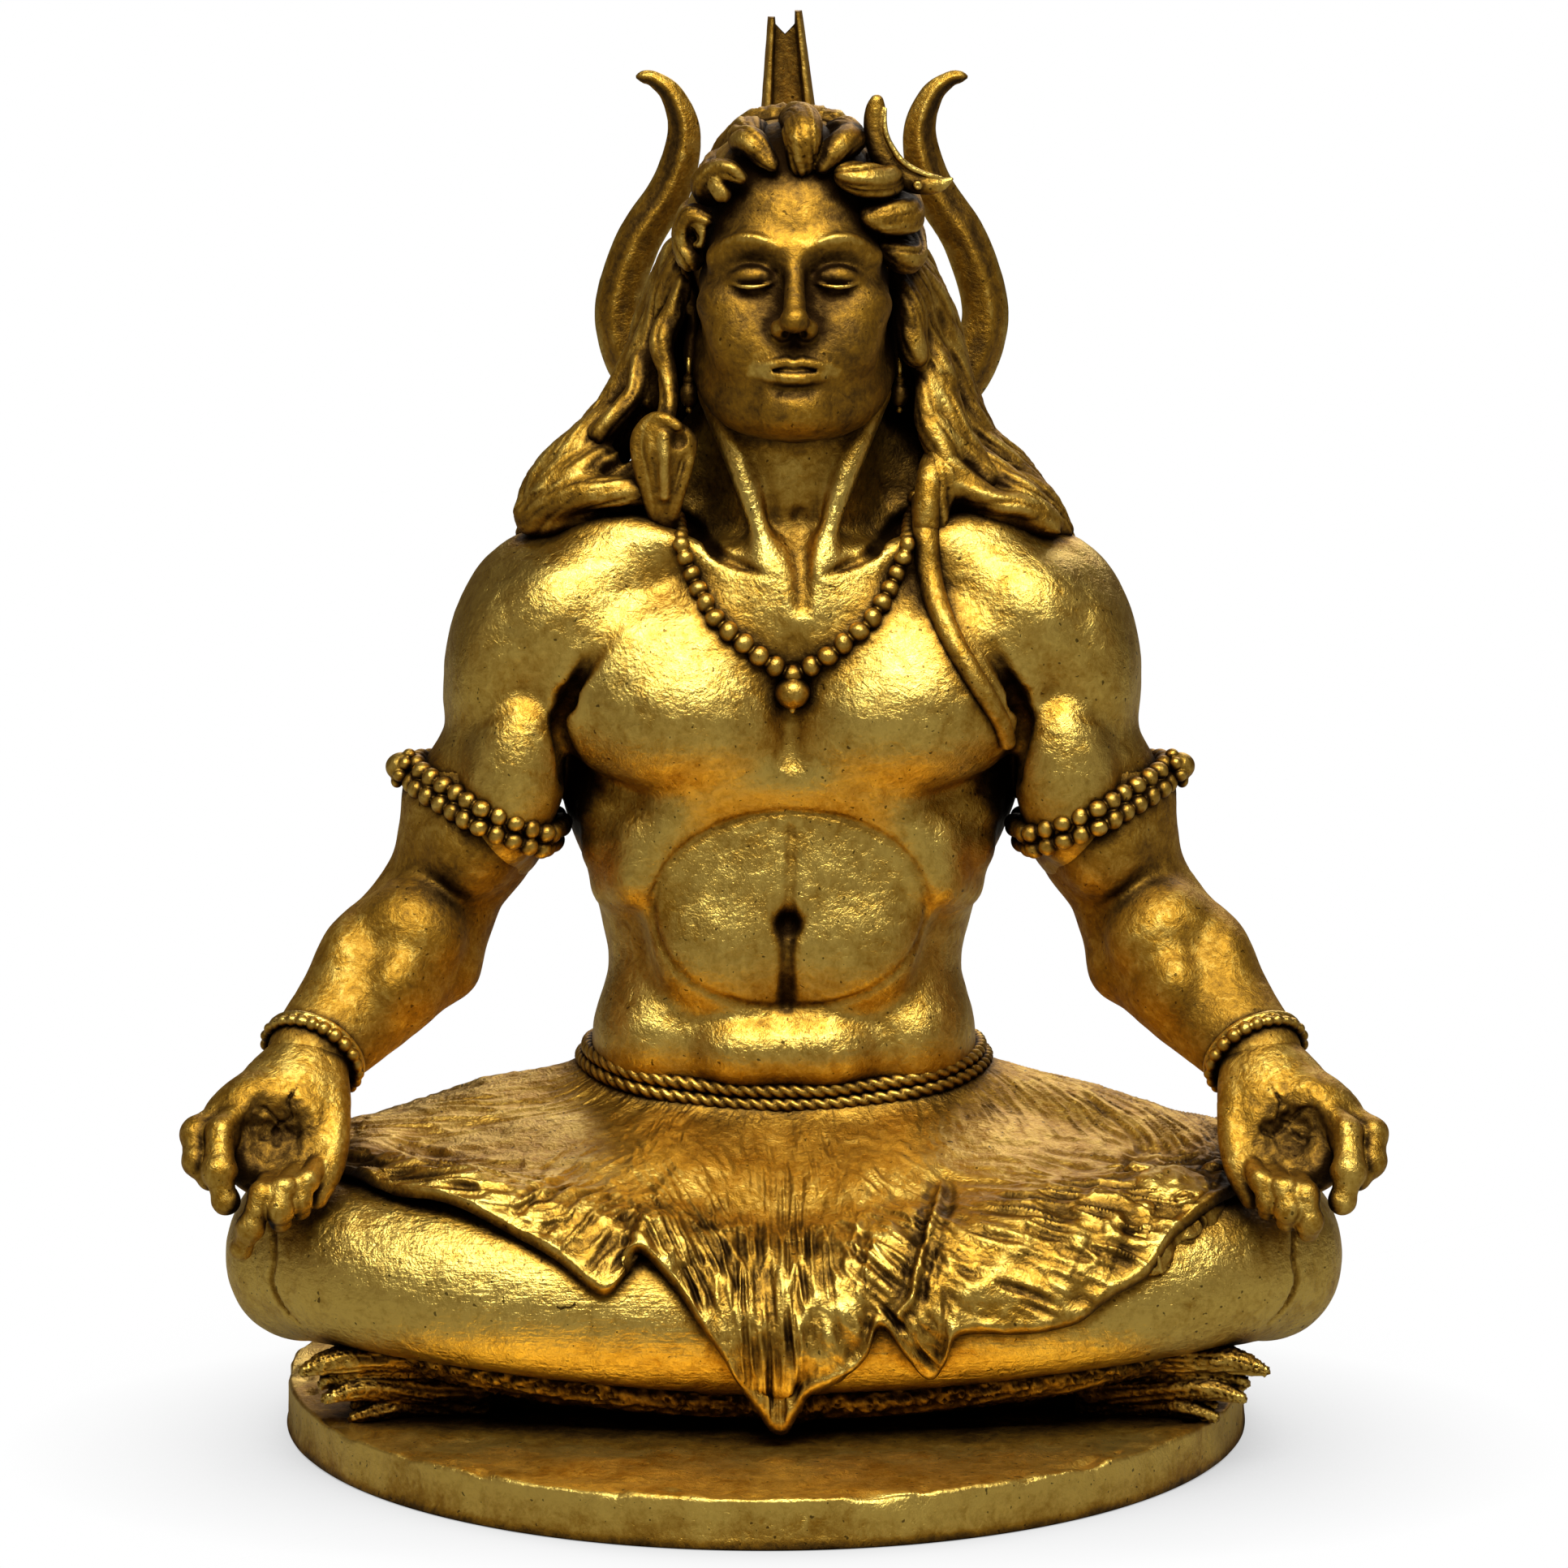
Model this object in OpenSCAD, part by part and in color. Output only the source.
// Seated meditating figure in cast brass, on a round base, with a trident behind the head.
// Millimetres, +Z up, -Y to the front. The origin is on the underside of the base, at the middle of the figure.

/* [Base] */
// Diameter of the round base
base_d = 48; // [46:0.5:50]
// Thickness of the round base
base_h = 2.6; // [2.2:0.1:3]
// Offset of the base from the middle of the figure
base_x = -0.9; // [-1.2:0.1:0]

/* [Figure] */
// Sideways lean of the head and chest
lean = 0.5; // [0:0.1:0.8]
// Height of the waist line above the underside
waist_z = 17; // [16.6:0.1:17.4]
// Distance across the tips of both hands
hand_span = 58; // [57:0.5:60]
// Distance across both knees
knee_span = 54; // [53:0.5:55]
// Height of the middle of the face
face_z = 57; // [56.6:0.1:57.4]

/* [Trident] */
// Height of the statue, to the top of the middle blade
statue_h = 69.5; // [68.5:0.1:70.5]
// Distance across the outside of both side prongs
prong_span = 20.6; // [20:0.2:21.4]
// Thickness of the trident, front to back
trident_t = 1.6; // [1.4:0.1:2]

/* [Ornaments] */
// Diameter of the largest necklace bead
bead_d = 1.05; // [0.9:0.05:1.1]
// Diameter of the necklace's hanging bead
pendant_d = 1.6; // [1.4:0.1:1.8]
// Diameter of an armlet bead
armlet_bead_d = 1.1; // [1:0.05:1.2]
// Diameter of each waist cord
waist_cord_d = 0.7; // [0.6:0.05:0.8]

/* [Hidden] */
gold = [0.72, 0.53, 0.2];
bright_gold = [0.85, 0.66, 0.28];
dark_gold = [0.45, 0.32, 0.13];
base_top = base_h;
hand_x = hand_span / 2;
knee_x = knee_span / 2;
trident_y = 12;

// ---------- curves and sweeps ----------

// Catmull-Rom point on span i of the list p, with t from 0 to 1
function spline_at(p, i, t) =
    let (n = len(p) - 1, a = p[max(i - 1, 0)], b = p[i], c = p[min(i + 1, n)], d = p[min(i + 2, n)])
    0.5 * (2 * b + (c - a) * t + (2 * a - 5 * b + 4 * c - d) * t * t + (3 * b - a - 3 * c + d) * t * t * t);

function spline(p, steps) =
    [for (i = [0:len(p) - 2]) for (k = [0:steps - 1]) spline_at(p, i, k / steps), p[len(p) - 1]];

function place(s) = [s[0], s[1], s[2]];
function unit(v) = v / norm(v);
function tangent(p, i) = unit(place(p[min(i + 1, len(p) - 1)]) - place(p[max(i - 1, 0)]));

// Elliptical ring round station i = [x, y, z, half width along side, half width across it]
function ring(p, i, side, sides) =
    let (t = tangent(p, i), s = unit(side - t * (side * t)), w = cross(t, s))
    [for (k = [0:sides - 1])
        place(p[i]) + s * p[i][3] * cos(360 * k / sides) + w * p[i][4] * sin(360 * k / sides)];

module point_hull(points) {
    hull() polyhedron(points, [[for (i = [0:len(points) - 1]) i]]);
}

// A rounded member through stations [x, y, z, half width, half depth]
module limb(stations, steps = 3, sides = 14, side = [1, 0, 0]) {
    path = spline(stations, steps);
    for (i = [0:len(path) - 2])
        point_hull(concat(ring(path, i, side, sides), ring(path, i + 1, side, sides)));
}

// A closed ring of round section along an ellipse, dropping by sag at the front
module elliptic_cord(centre, rx, ry, sag, d, turns = 40, sides = 6) {
    points = [for (i = [0:turns - 1]) let (a = 360 * i / turns)
        centre + [rx * cos(a), ry * sin(a), sag * sin(a)]];
    for (i = [0:turns - 1]) hull() {
        translate(points[i]) sphere(d = d, $fn = sides);
        translate(points[(i + 1) % turns]) sphere(d = d, $fn = sides);
    }
}

// One bead of a cast string, faceted like its neighbours
module bead(place, d) {
    hull() translate(place) sphere(d = d, $fn = 8);
}

module mirrored(side) {
    if (side > 0) mirror([1, 0, 0]) children();
    else children();
}

// ---------- base ----------

module base_plate() {
    edge = 0.35;
    r = base_d / 2;
    color(gold) translate([base_x, 0, 0]) rotate_extrude($fn = 96) difference() {
        square([r, base_h]);
        translate([r - edge, base_h - edge]) difference() {
            square(2 * edge);
            circle(r = edge, $fn = 32);
        }
    }
}

module seat_pelt() {
    // Low fur mat under the legs
    mat_h = 3;
    color(dark_gold) translate([0, 2.5, base_top]) linear_extrude(height = mat_h)
        polygon([for (a = [0:12:348]) [19 * cos(a), 12 * sin(a)]]);
}

// ---------- body ----------

torso_stations = [
    [0, 3.5, 5.6, 7.5, 6], [0, 3.5, 9, 9, 6.5], [0, 3.4, 13, 9.8, 6.8], [0.1, 3.3, waist_z, 9.7, 6.4],
    [0.2, 3.2, 22, 8.7, 5.7], [0.3, 3, 27, 9.4, 6.2], [0.4, 2.6, 32, 10.8, 7], [lean, 2.3, 37, 12, 7.2],
    [lean, 2.5, 41, 12.5, 6], [lean, 2.8, 44, 9.2, 4.6], [lean, 2.2, 46.5, 5.2, 4.2],
    [lean, 1.8, 49.5, 4.1, 4.2]
];

module shoulder() {
    limb([[-10.5, 2.3, 42, 3.4, 4.2], [-13.9, 1.8, 40, 4.2, 5], [-14.9, 1.2, 35.6, 3.9, 4.5],
          [-15.2, 0.8, 31.4, 3.5, 3.8]], side = [1, 0, 0.2]);
}

module torso() {
    color(gold) {
        limb(torso_stations, steps = 2, sides = 16);
        for (side = [-1, 1]) translate([lean, 0, 0]) mirrored(side) {
            shoulder();
            // Chest muscle
            hull() {
                translate([-5.4, -2.6, 36.4]) scale([1.5, 0.72, 1]) sphere(4, $fn = 18);
                translate([-8, 0, 40]) sphere(2.6, $fn = 14);
            }
        }
    }
}

module forearm(side) {
    color(gold) mirrored(side) limb([
        [-15.4 - lean * side, 0.8, 31, 3.4, 3.7], [-16.6 - lean * side, 1, 28, 3.2, 3.5],
        [-17.6 - lean * side, 0.7, 25.3, 3.5, 3.6], [-19.4, -2.2, 23.6, 3.3, 3.2],
        [-21.6, -5.4, 21.9, 2.7, 2.5], [-23.3, -8, 20.6, 2.1, 1.8]], side = [1, -0.3, 0.3]);
}

// One finger: a chain of rounded bones through points, tapering to the tip
module finger(points, d) {
    for (i = [0:len(points) - 2]) hull() {
        translate(points[i]) sphere(d = d * (1 - 0.08 * i), $fn = 8);
        translate(points[i + 1]) sphere(d = d * (1 - 0.08 * (i + 1)), $fn = 8);
    }
}

module hand(side) {
    out = -hand_x;
    color(gold) mirrored(side) {
        // Palm, turned up towards the front
        hull() {
            translate([-23.5, -8.6, 20]) scale([1, 0.8, 0.8]) sphere(1.9, $fn = 12);
            for (x = [-22.4, -24.2, -26]) translate([x, -11.4, 15.6]) sphere(1.1, $fn = 10);
            translate([out + 1.4, -10.8, 17.4]) sphere(0.9, $fn = 10);
        }
        finger([[-22.3, -11.6, 15.4], [-22.1, -13.4, 14.4], [-22.3, -14.2, 12.8]], 1.7);
        finger([[-23.9, -11.9, 15.2], [-23.9, -13.9, 14], [-24, -14.7, 12.2]], 1.8);
        finger([[-25.6, -11.9, 15.2], [-25.7, -13.9, 13.9], [-25.6, -14.6, 12.2]], 1.8);
        // Forefinger and thumb, closed in a loop
        finger([[-26.6, -11.4, 15.9], [out + 0.85, -11.9, 17.4], [out + 1.2, -12.6, 15.6],
                [out + 2, -13, 14]], 1.7);
        finger([[-25.6, -9.6, 18.6], [-27, -11.4, 16.9], [-27, -12.6, 15], [-27, -13.3, 13.9]], 1.9);
    }
}

module thigh(side) {
    color(gold) mirrored(side) difference() {
        limb([[-6, 4, 10.2, 4.6, 4.6], [-12, 2.4, 10.4, 4.9, 4.7], [-18, 0.4, 10.2, 4.6, 4.4],
              [-22.5, -1.6, 10, 4, 4], [-knee_x + 1.9, -2.6, 9.8, 2.6, 2.8]], side = [0, 1, 0]);
        limb(torso_stations, steps = 1, sides = 20);
    }
}

module shin(side, reach) {
    color(gold) mirrored(side) limb([
        [-knee_x + 0.4, -5.4, 9.8, 1.4, 1.6], [-knee_x + 1.8, -6.3, 9.8, 2.9, 3], [-22.8, -8, 9.8, 3.5, 3.8],
        [-17.5, -9.8, 9.8, 3.5, 3.8], [-11, -10.6, 9.4, 3.3, 3.7], [reach, -11, 8.4, 2.7, 3]],
        side = [0, 1, 0]);
}

module foot(side) {
    color(gold) mirrored(side) {
        limb([[-9, -3.5, 4.6, 1.7, 1.2], [-13, -5, 4.6, 2, 1.3], [-17, -6, 4.4, 2.2, 1.3],
              [-19.2, -6.2, 4.2, 2.1, 1.2]], steps = 2, sides = 10, side = [0, 1, 0]);
        for (k = [0:4]) translate([-19.2, -8 + 1.0 * k, 4 - 0.08 * k]) hull() {
            sphere(d = 1.5 - 0.12 * k, $fn = 8);
            translate([-1.9 + 0.12 * k, -0.3, -0.3]) sphere(d = 1.3 - 0.12 * k, $fn = 8);
        }
    }
}

// ---------- head and hair ----------

module head() {
    color(gold) translate([lean, 0, 0]) {
        limb([[0, 0.6, face_z - 6.4, 2.6, 3], [0, 0.4, face_z - 5.4, 3.6, 4], [0, 0.4, face_z - 3, 4.5, 4.6],
              [0, 0.9, face_z, 4.7, 5], [0, 1.3, face_z + 3.4, 4.6, 5], [0, 1.6, face_z + 5.6, 3.5, 4],
              [0, 1.7, face_z + 6.8, 1.4, 1.6]], steps = 2, sides = 18);
        // Nose
        hull() {
            translate([0, -4.1, face_z + 1.4]) sphere(0.45, $fn = 8);
            translate([0, -5.1, face_z - 1.7]) sphere(0.7, $fn = 8);
        }
    }
}

module ear(side) {
    color(gold) translate([lean, 0, 0]) mirrored(side) for (k = [0:8]) hull() for (j = [k, k + 1])
        translate([-4.9 - 0.3 * sin(20 * j), 1.4 + 0.25 * sin(20 * j), face_z + 1.2 - 0.38 * j])
            sphere(d = 1.1 - 0.05 * j, $fn = 8);
}

module hair_cap() {
    // Scalp hair, open at the front for the face
    color(dark_gold) translate([lean, 0, 0]) difference() {
        limb([[0, 4.6, face_z - 4, 4.4, 3.2], [0, 3.6, face_z, 5.3, 4.6], [0, 3, face_z + 3.6, 5.2, 4.9],
              [0, 2.6, face_z + 6.3, 4.2, 4.2], [0, 2.6, face_z + 7.8, 2, 2.2]], steps = 3, sides = 16);
        limb([[0, 0.6, face_z - 6.4, 2.6, 3], [0, 0.4, face_z - 5.4, 3.6, 4], [0, 0.4, face_z - 3, 4.5, 4.6],
              [0, 0.9, face_z, 4.7, 5], [0, 1.3, face_z + 3.4, 4.6, 5], [0, 1.6, face_z + 5.6, 3.5, 4],
              [0, 1.7, face_z + 6.8, 1.4, 1.6]], steps = 2, sides = 18);
    }
}

module back_hair() {
    color(dark_gold) limb([
        [lean, 7, 58, 4.6, 1.6], [lean, 8.2, 53, 6, 1.8], [lean, 9, 48, 7.5, 1.8], [lean, 9.6, 43, 9, 1.6],
        [lean, 10, 37, 8, 1.4], [lean, 10, 31, 6, 1.1], [lean, 9.8, 27, 4, 0.8]], steps = 2, sides = 14);
}

// A lock of hair: a tapering tube through points
module lock(points, d) {
    for (i = [0:len(points) - 2]) hull() for (j = [i, i + 1])
        translate(points[j]) sphere(d = d * (1 - 0.1 * j), $fn = 8);
}

module side_hair(side) {
    // Two long locks down past the ear to the shoulder
    color(dark_gold) translate([lean, 0, 0]) mirrored(side) for (k = [0:1])
        lock([[-5.5, 3.8 + 1.7 * k, 56], [-6.3 - 0.3 * k, 3.7 + 1.7 * k, 53], [-6.9 - 0.5 * k, 3.6 + 1.7 * k, 50],
              [-7.5 - 0.8 * k, 3.2 + 1.7 * k, 48.2]], 2);
}

module crown_locks() {
    // Three fat locks over the middle of the forehead
    color(dark_gold) translate([lean, 0, 0]) for (x = [-2.4, 0, 2.2])
        lock([[0.75 * x, 2.6, face_z + 8.6], [0.85 * x, 0.6, face_z + 8.4], [x, -1.6, face_z + 7.4],
              [1.05 * x, -2.4, face_z + 6.2]], 2.1);
}

module temple_locks(side) {
    // Short locks rolled back from the hair line, down to the ear
    color(dark_gold) translate([lean, 0, 0]) mirrored(side) for (k = [0:3])
        lock([[-3.6 - 0.75 * k, 2.6, face_z + 7.8 - 2.1 * k], [-4.2 - 0.6 * k, 0.8, face_z + 7.4 - 2.2 * k],
              [-4.4 - 0.5 * k, -0.9 + 0.3 * k, face_z + 6.6 - 2.2 * k]], 1.9);
}

module shoulder_hair(side) {
    // Spread ends of the hair, lying on the shoulder
    color(dark_gold) translate([lean, 0, 0]) mirrored(side) limb([
        [-6.9, 3, 48.3, 1.6, 2.4], [-8, 2.6, 47, 1.3, 2.8], [-9.8, 2.3, 45.9, 0.9, 3.2], [-11.6, 2.2, 45.1, 0.7, 3],
        [-13, 2.2, 44.2, 0.4, 2]], steps = 2, sides = 10, side = [0, 0, 1]);
}

module earring(side) {
    color(bright_gold) translate([lean, 0, 0]) mirrored(side) {
        translate([-5.1, 1.3, face_z - 3.1]) rotate([90, 0, 0])
            rotate_extrude($fn = 32) translate([0.5, 0]) circle(d = 0.35, $fn = 16);
        translate([-5.1, 1.3, face_z - 4.3]) sphere(d = 1.2, $fn = 24);
    }
}

module crescent_moon() {
    // Horned moon, pinned in the locks on one side of the head
    r = 2.9;
    color(bright_gold) translate([5.6, -1.2, 64.7]) rotate([90, 40, 0]) linear_extrude(height = 0.7, center = true)
        difference() {
            circle(r = r, $fn = 48);
            translate([0.3, 1.5]) circle(r = r - 0.25, $fn = 48);
        }
}

// ---------- snake ----------

module snake_hood() {
    color(gold) {
        limb([[-4.6, -1.4, 50.4, 0.5, 0.4], [-4.9, -2.2, 49.8, 1.3, 0.5], [-5.2, -2.6, 48.2, 1.5, 0.55],
              [-5.4, -2.9, 46.6, 1, 0.6], [-5.5, -3, 45.2, 0.6, 0.6]], steps = 3, sides = 10);
        // Head of the snake, at the top of its hood
        hull() {
            translate([-4.6, -1.6, 50.3]) sphere(0.6, $fn = 8);
            translate([-4.6, -3, 50]) sphere(0.4, $fn = 8);
        }
    }
}

module snake_body() {
    // Coil round the neck, from the hood to the other shoulder
    color(gold) limb([
        [-5.6, -2.6, 45.4, 0.75, 0.75], [-6.4, -0.6, 46.8, 0.9, 0.9], [-5.4, 3, 47.4, 1, 1],
        [-2.4, 6.6, 47.6, 1, 1], [3.2, 6.6, 47.6, 1, 1], [6.2, 3, 47.4, 1, 1], [7.3, -0.4, 46.8, 0.95, 0.95],
        [7.4, -2.7, 45, 0.85, 0.85]], steps = 3, sides = 8, side = [0, 0, 1]);
}

module snake_tail() {
    // Tail, down the side of the chest
    color(gold) limb([
        [7.4, -3, 44.6, 0.85, 0.85], [7.3, -4.5, 42, 0.8, 0.8], [8.4, -5.2, 39.4, 0.75, 0.75],
        [10, -4.6, 37, 0.65, 0.65], [11.2, -3.2, 34.8, 0.5, 0.5], [11.6, -1.6, 33.6, 0.3, 0.3]],
        steps = 3, sides = 8, side = [0, 1, 0]);
}

// ---------- ornaments ----------

// Bead string from one side of the neck to the other, in a V over the chest
necklace_count = 25;
function necklace_point(t) =
    let (x = 6.2 * (2 * t - 1), drop = pow(abs(2 * t - 1), 1.35))
    [lean + x, -6.1 + 3 * drop, 38.6 + 7.4 * drop];

module necklace_beads() {
    cord_d = 0.35;
    last = necklace_count - 1;
    color(bright_gold) {
        for (i = [0:last])
            bead(necklace_point(i / last), bead_d * (0.8 - 0.25 * pow(2 * i / last - 1, 2)));
        for (i = [0:last - 1]) hull() for (j = [i, i + 1])
            translate(necklace_point(j / last)) sphere(d = cord_d, $fn = 6);
    }
}

module necklace_pendant() {
    color(bright_gold) translate([lean, -6.6, 37.3]) sphere(d = pendant_d, $fn = 32);
}

// Rows of touching beads round an ellipse, each row half a bead on from the last
module bead_rows(count, rows, rx, ry, row_gap, d) {
    for (row = [0:rows - 1]) for (i = [0:count - 1]) let (a = 360 * (i + row / 2) / count)
        bead([rx * cos(a), ry * sin(a), row_gap * (row - (rows - 1) / 2)], d);
}

module armlet(side) {
    color(bright_gold) translate([lean, 0, 0]) mirrored(side)
        translate([-15.3, 0.8, 31.2]) rotate([4, 14, 0]) bead_rows(20, 2, 3.95, 4.2, 0.9, armlet_bead_d * 1.22);
}

module armlet_boss(side) {
    // Large bead at the outer side of the armlet
    color(bright_gold) translate([lean, 0, 0]) mirrored(side) translate([-19.5, 0.2, 32.4]) sphere(d = 1.9, $fn = 24);
}

module bracelet(side) {
    color(bright_gold) mirrored(side) translate([-23.3, -8.1, 20.7]) rotate([38, -20, 0])
        bead_rows(18, 1, 2.35, 2.35, 0, 0.95);
}

module waist_cord(level) {
    color(bright_gold) elliptic_cord([0.1, 3.3, waist_z + level], 10, 7.1, 0.5, waist_cord_d);
}

// ---------- tiger skin ----------

// Hem of the skin over the lap, from one knee round the front to the other
hem = [
    [-19.5, 4, 12.6], [-23.4, -2, 13.4], [-21.6, -8, 13.8], [-18.6, -11.2, 13.4], [-14, -13.4, 12.8],
    [-9, -15, 11.2], [-7, -14.6, 12], [-4, -15.4, 8.8], [-0.4, -15.4, 4.2], [2.2, -15.2, 7],
    [4.8, -15, 9.2], [7.4, -15, 6.8], [9.6, -14.6, 8.8], [13.4, -13.6, 9.8], [17.4, -12.4, 10.6],
    [21.4, -8.4, 13.6], [23.4, -2, 13.4], [19.5, 4, 12.6]
];
hem_curve = spline(hem, 2);
skin_rows = 6;
skin_t = 0.7;

function belt_point(u) = let (a = 185 + 170 * u) [10.4 * cos(a), 3.4 + 7.4 * sin(a), waist_z - 0.9];

// Point on the skin, with u along the hem and v from the waist to the hem
function skin_point(i, v, lift) =
    let (u = i / (len(hem_curve) - 1), b = belt_point(u), h = hem_curve[i],
         crest = [0.8 * h[0], 0.8 * h[1], 16.4 - 0.02 * abs(h[0])],
         p = b * pow(1 - v, 2) + crest * (2 * v * (1 - v)) + h * v * v)
    p + lift * unit([0.35 * p[0], p[1] - 4, 9]);

module tiger_skin() {
    n = len(hem_curve);
    top = [for (i = [0:n - 1]) for (k = [0:skin_rows]) skin_point(i, k / skin_rows, skin_t)];
    under = [for (i = [0:n - 1]) for (k = [0:skin_rows]) skin_point(i, k / skin_rows, 0)];
    row = skin_rows + 1;
    half = n * row;
    sheet = [for (i = [0:n - 2]) for (k = [0:skin_rows - 1]) let (a = i * row + k)
        for (f = [[a, a + 1, a + row + 1], [a, a + row + 1, a + row]]) f];
    flip = [for (f = sheet) [f[0] + half, f[2] + half, f[1] + half]];
    ends = [for (k = [0:skin_rows - 1]) for (f = [
        [k, k + half, k + 1 + half], [k, k + 1 + half, k + 1],
        [(n - 1) * row + k, (n - 1) * row + k + 1, (n - 1) * row + k + 1 + half],
        [(n - 1) * row + k, (n - 1) * row + k + 1 + half, (n - 1) * row + k + half]]) f];
    edges = [for (i = [0:n - 2]) let (a = i * row, b = a + row, c = a + skin_rows, d = c + row) for (f = [
        [a, b, b + half], [a, b + half, a + half],
        [c, c + half, d + half], [c, d + half, d]]) f];
    color(dark_gold) polyhedron(concat(top, under), [for (f = concat(sheet, flip, ends, edges)) [f[0], f[2], f[1]]]);
}

module tiger_skin_head() {
    // Flattened mask of the beast, on the left thigh
    color(dark_gold) translate([17.6, -8.2, 15.2]) rotate([38, 18, 0]) {
        hull() {
            translate([0, 1.3, 0]) sphere(1.4, $fn = 10);
            translate([0.3, -1.6, 0.2]) sphere(0.9, $fn = 10);
        }
        for (x = [-1.3, 1.3]) translate([x, 1.9, 0.5]) sphere(0.6, $fn = 16);
    }
}

// ---------- trident ----------

module trident_blade() {
    // Tapering gutter-shaped blade with a notched top
    foot_w = 4;
    top_w = 1.7;
    foot_z = 60;
    blade_h = statue_h - foot_z;
    color(gold) translate([0.4, trident_y, foot_z]) rotate([90, 0, 0]) difference() {
        linear_extrude(height = trident_t, center = true) polygon([
            [-foot_w / 2, 0], [foot_w / 2, 0], [top_w / 2, blade_h], [0.3, blade_h - 0.9], [-0.2, blade_h - 1],
            [-top_w / 2, blade_h - 0.3]]);
        translate([0, 0, 0.4]) linear_extrude(height = trident_t) polygon([
            [-foot_w / 2 + 0.8, -1], [foot_w / 2 - 0.8, -1], [top_w / 2 - 0.45, blade_h + 1],
            [-top_w / 2 + 0.45, blade_h + 1]]);
    }
}

// Middle line of a side prong: [distance from the middle, height, half width]
prong_line = spline([
    [1.5, 48.6, 1.3], [5.2, 48.8, 1.4], [8.1, 50.8, 1.35], [9.3, 54, 1.25], [8.3, 57.6, 1.15],
    [6.6, 60.6, 1.0], [6.1, 63.4, 0.8], [6.9, 65.6, 0.55], [8.1, 66.3, 0.25]
], 4);

module prong(side) {
    n = len(prong_line);
    function across(i) = let (a = prong_line[max(i - 1, 0)], b = prong_line[min(i + 1, n - 1)],
        t = unit([b[0] - a[0], b[1] - a[1]])) [-t[1], t[0]];
    outline = concat(
        [for (i = [0:n - 1]) [prong_line[i][0], prong_line[i][1]] + across(i) * prong_line[i][2]],
        [for (i = [n - 1:-1:0]) [prong_line[i][0], prong_line[i][1]] - across(i) * prong_line[i][2]]);
    reach = prong_span / 20.6;
    color(gold) translate([0.9, trident_y, 0]) rotate([90, 0, 0]) linear_extrude(height = trident_t, center = true)
        polygon([for (p = outline) [side * reach * p[0], p[1]]]);
}

module trident_shaft() {
    // Staff behind the back, from the base to the collar
    color(gold) translate([0.9, trident_y, base_top]) cylinder(h = 45, d = 2.2, $fn = 32);
}

module trident_collar() {
    color(gold) translate([0.9, trident_y, base_top + 45]) difference() {
        cylinder(h = 60 - base_top - 45, d = 2.6, $fn = 32);
        for (s = [-1, 1]) translate([s * 1.8, 0, 2]) cube([1, 4, 20], center = true);
    }
}

// ---------- assembly ----------

base_plate();
seat_pelt();
torso();
head();
ear(-1);  // right_ear
ear(1);  // left_ear
hair_cap();
back_hair();
side_hair(-1);  // right_side_hair
side_hair(1);  // left_side_hair
crown_locks();
temple_locks(-1);  // right_temple_locks
temple_locks(1);  // left_temple_locks
shoulder_hair(-1);  // right_shoulder_hair
shoulder_hair(1);  // left_shoulder_hair
earring(-1);  // right_earring
earring(1);  // left_earring
crescent_moon();
forearm(-1);  // right_forearm
forearm(1);  // left_forearm
hand(-1);  // right_hand
hand(1);  // left_hand
armlet(-1);  // right_armlet
armlet(1);  // left_armlet
armlet_boss(-1);  // right_armlet_boss
armlet_boss(1);  // left_armlet_boss
bracelet(-1);  // right_bracelet
bracelet(1);  // left_bracelet
necklace_beads();
necklace_pendant();
waist_cord(0.45);  // upper_waist_cord
waist_cord(-0.45);  // lower_waist_cord
snake_hood();
snake_body();
snake_tail();
thigh(-1);  // right_thigh
thigh(1);  // left_thigh
shin(-1, 0);  // right_shin
shin(1, -3.5);  // left_shin
foot(1);  // right_foot
foot(-1);  // left_foot
tiger_skin();
tiger_skin_head();
trident_blade();
prong(-1);  // trident_right_prong
prong(1);  // trident_left_prong
trident_shaft();
trident_collar();
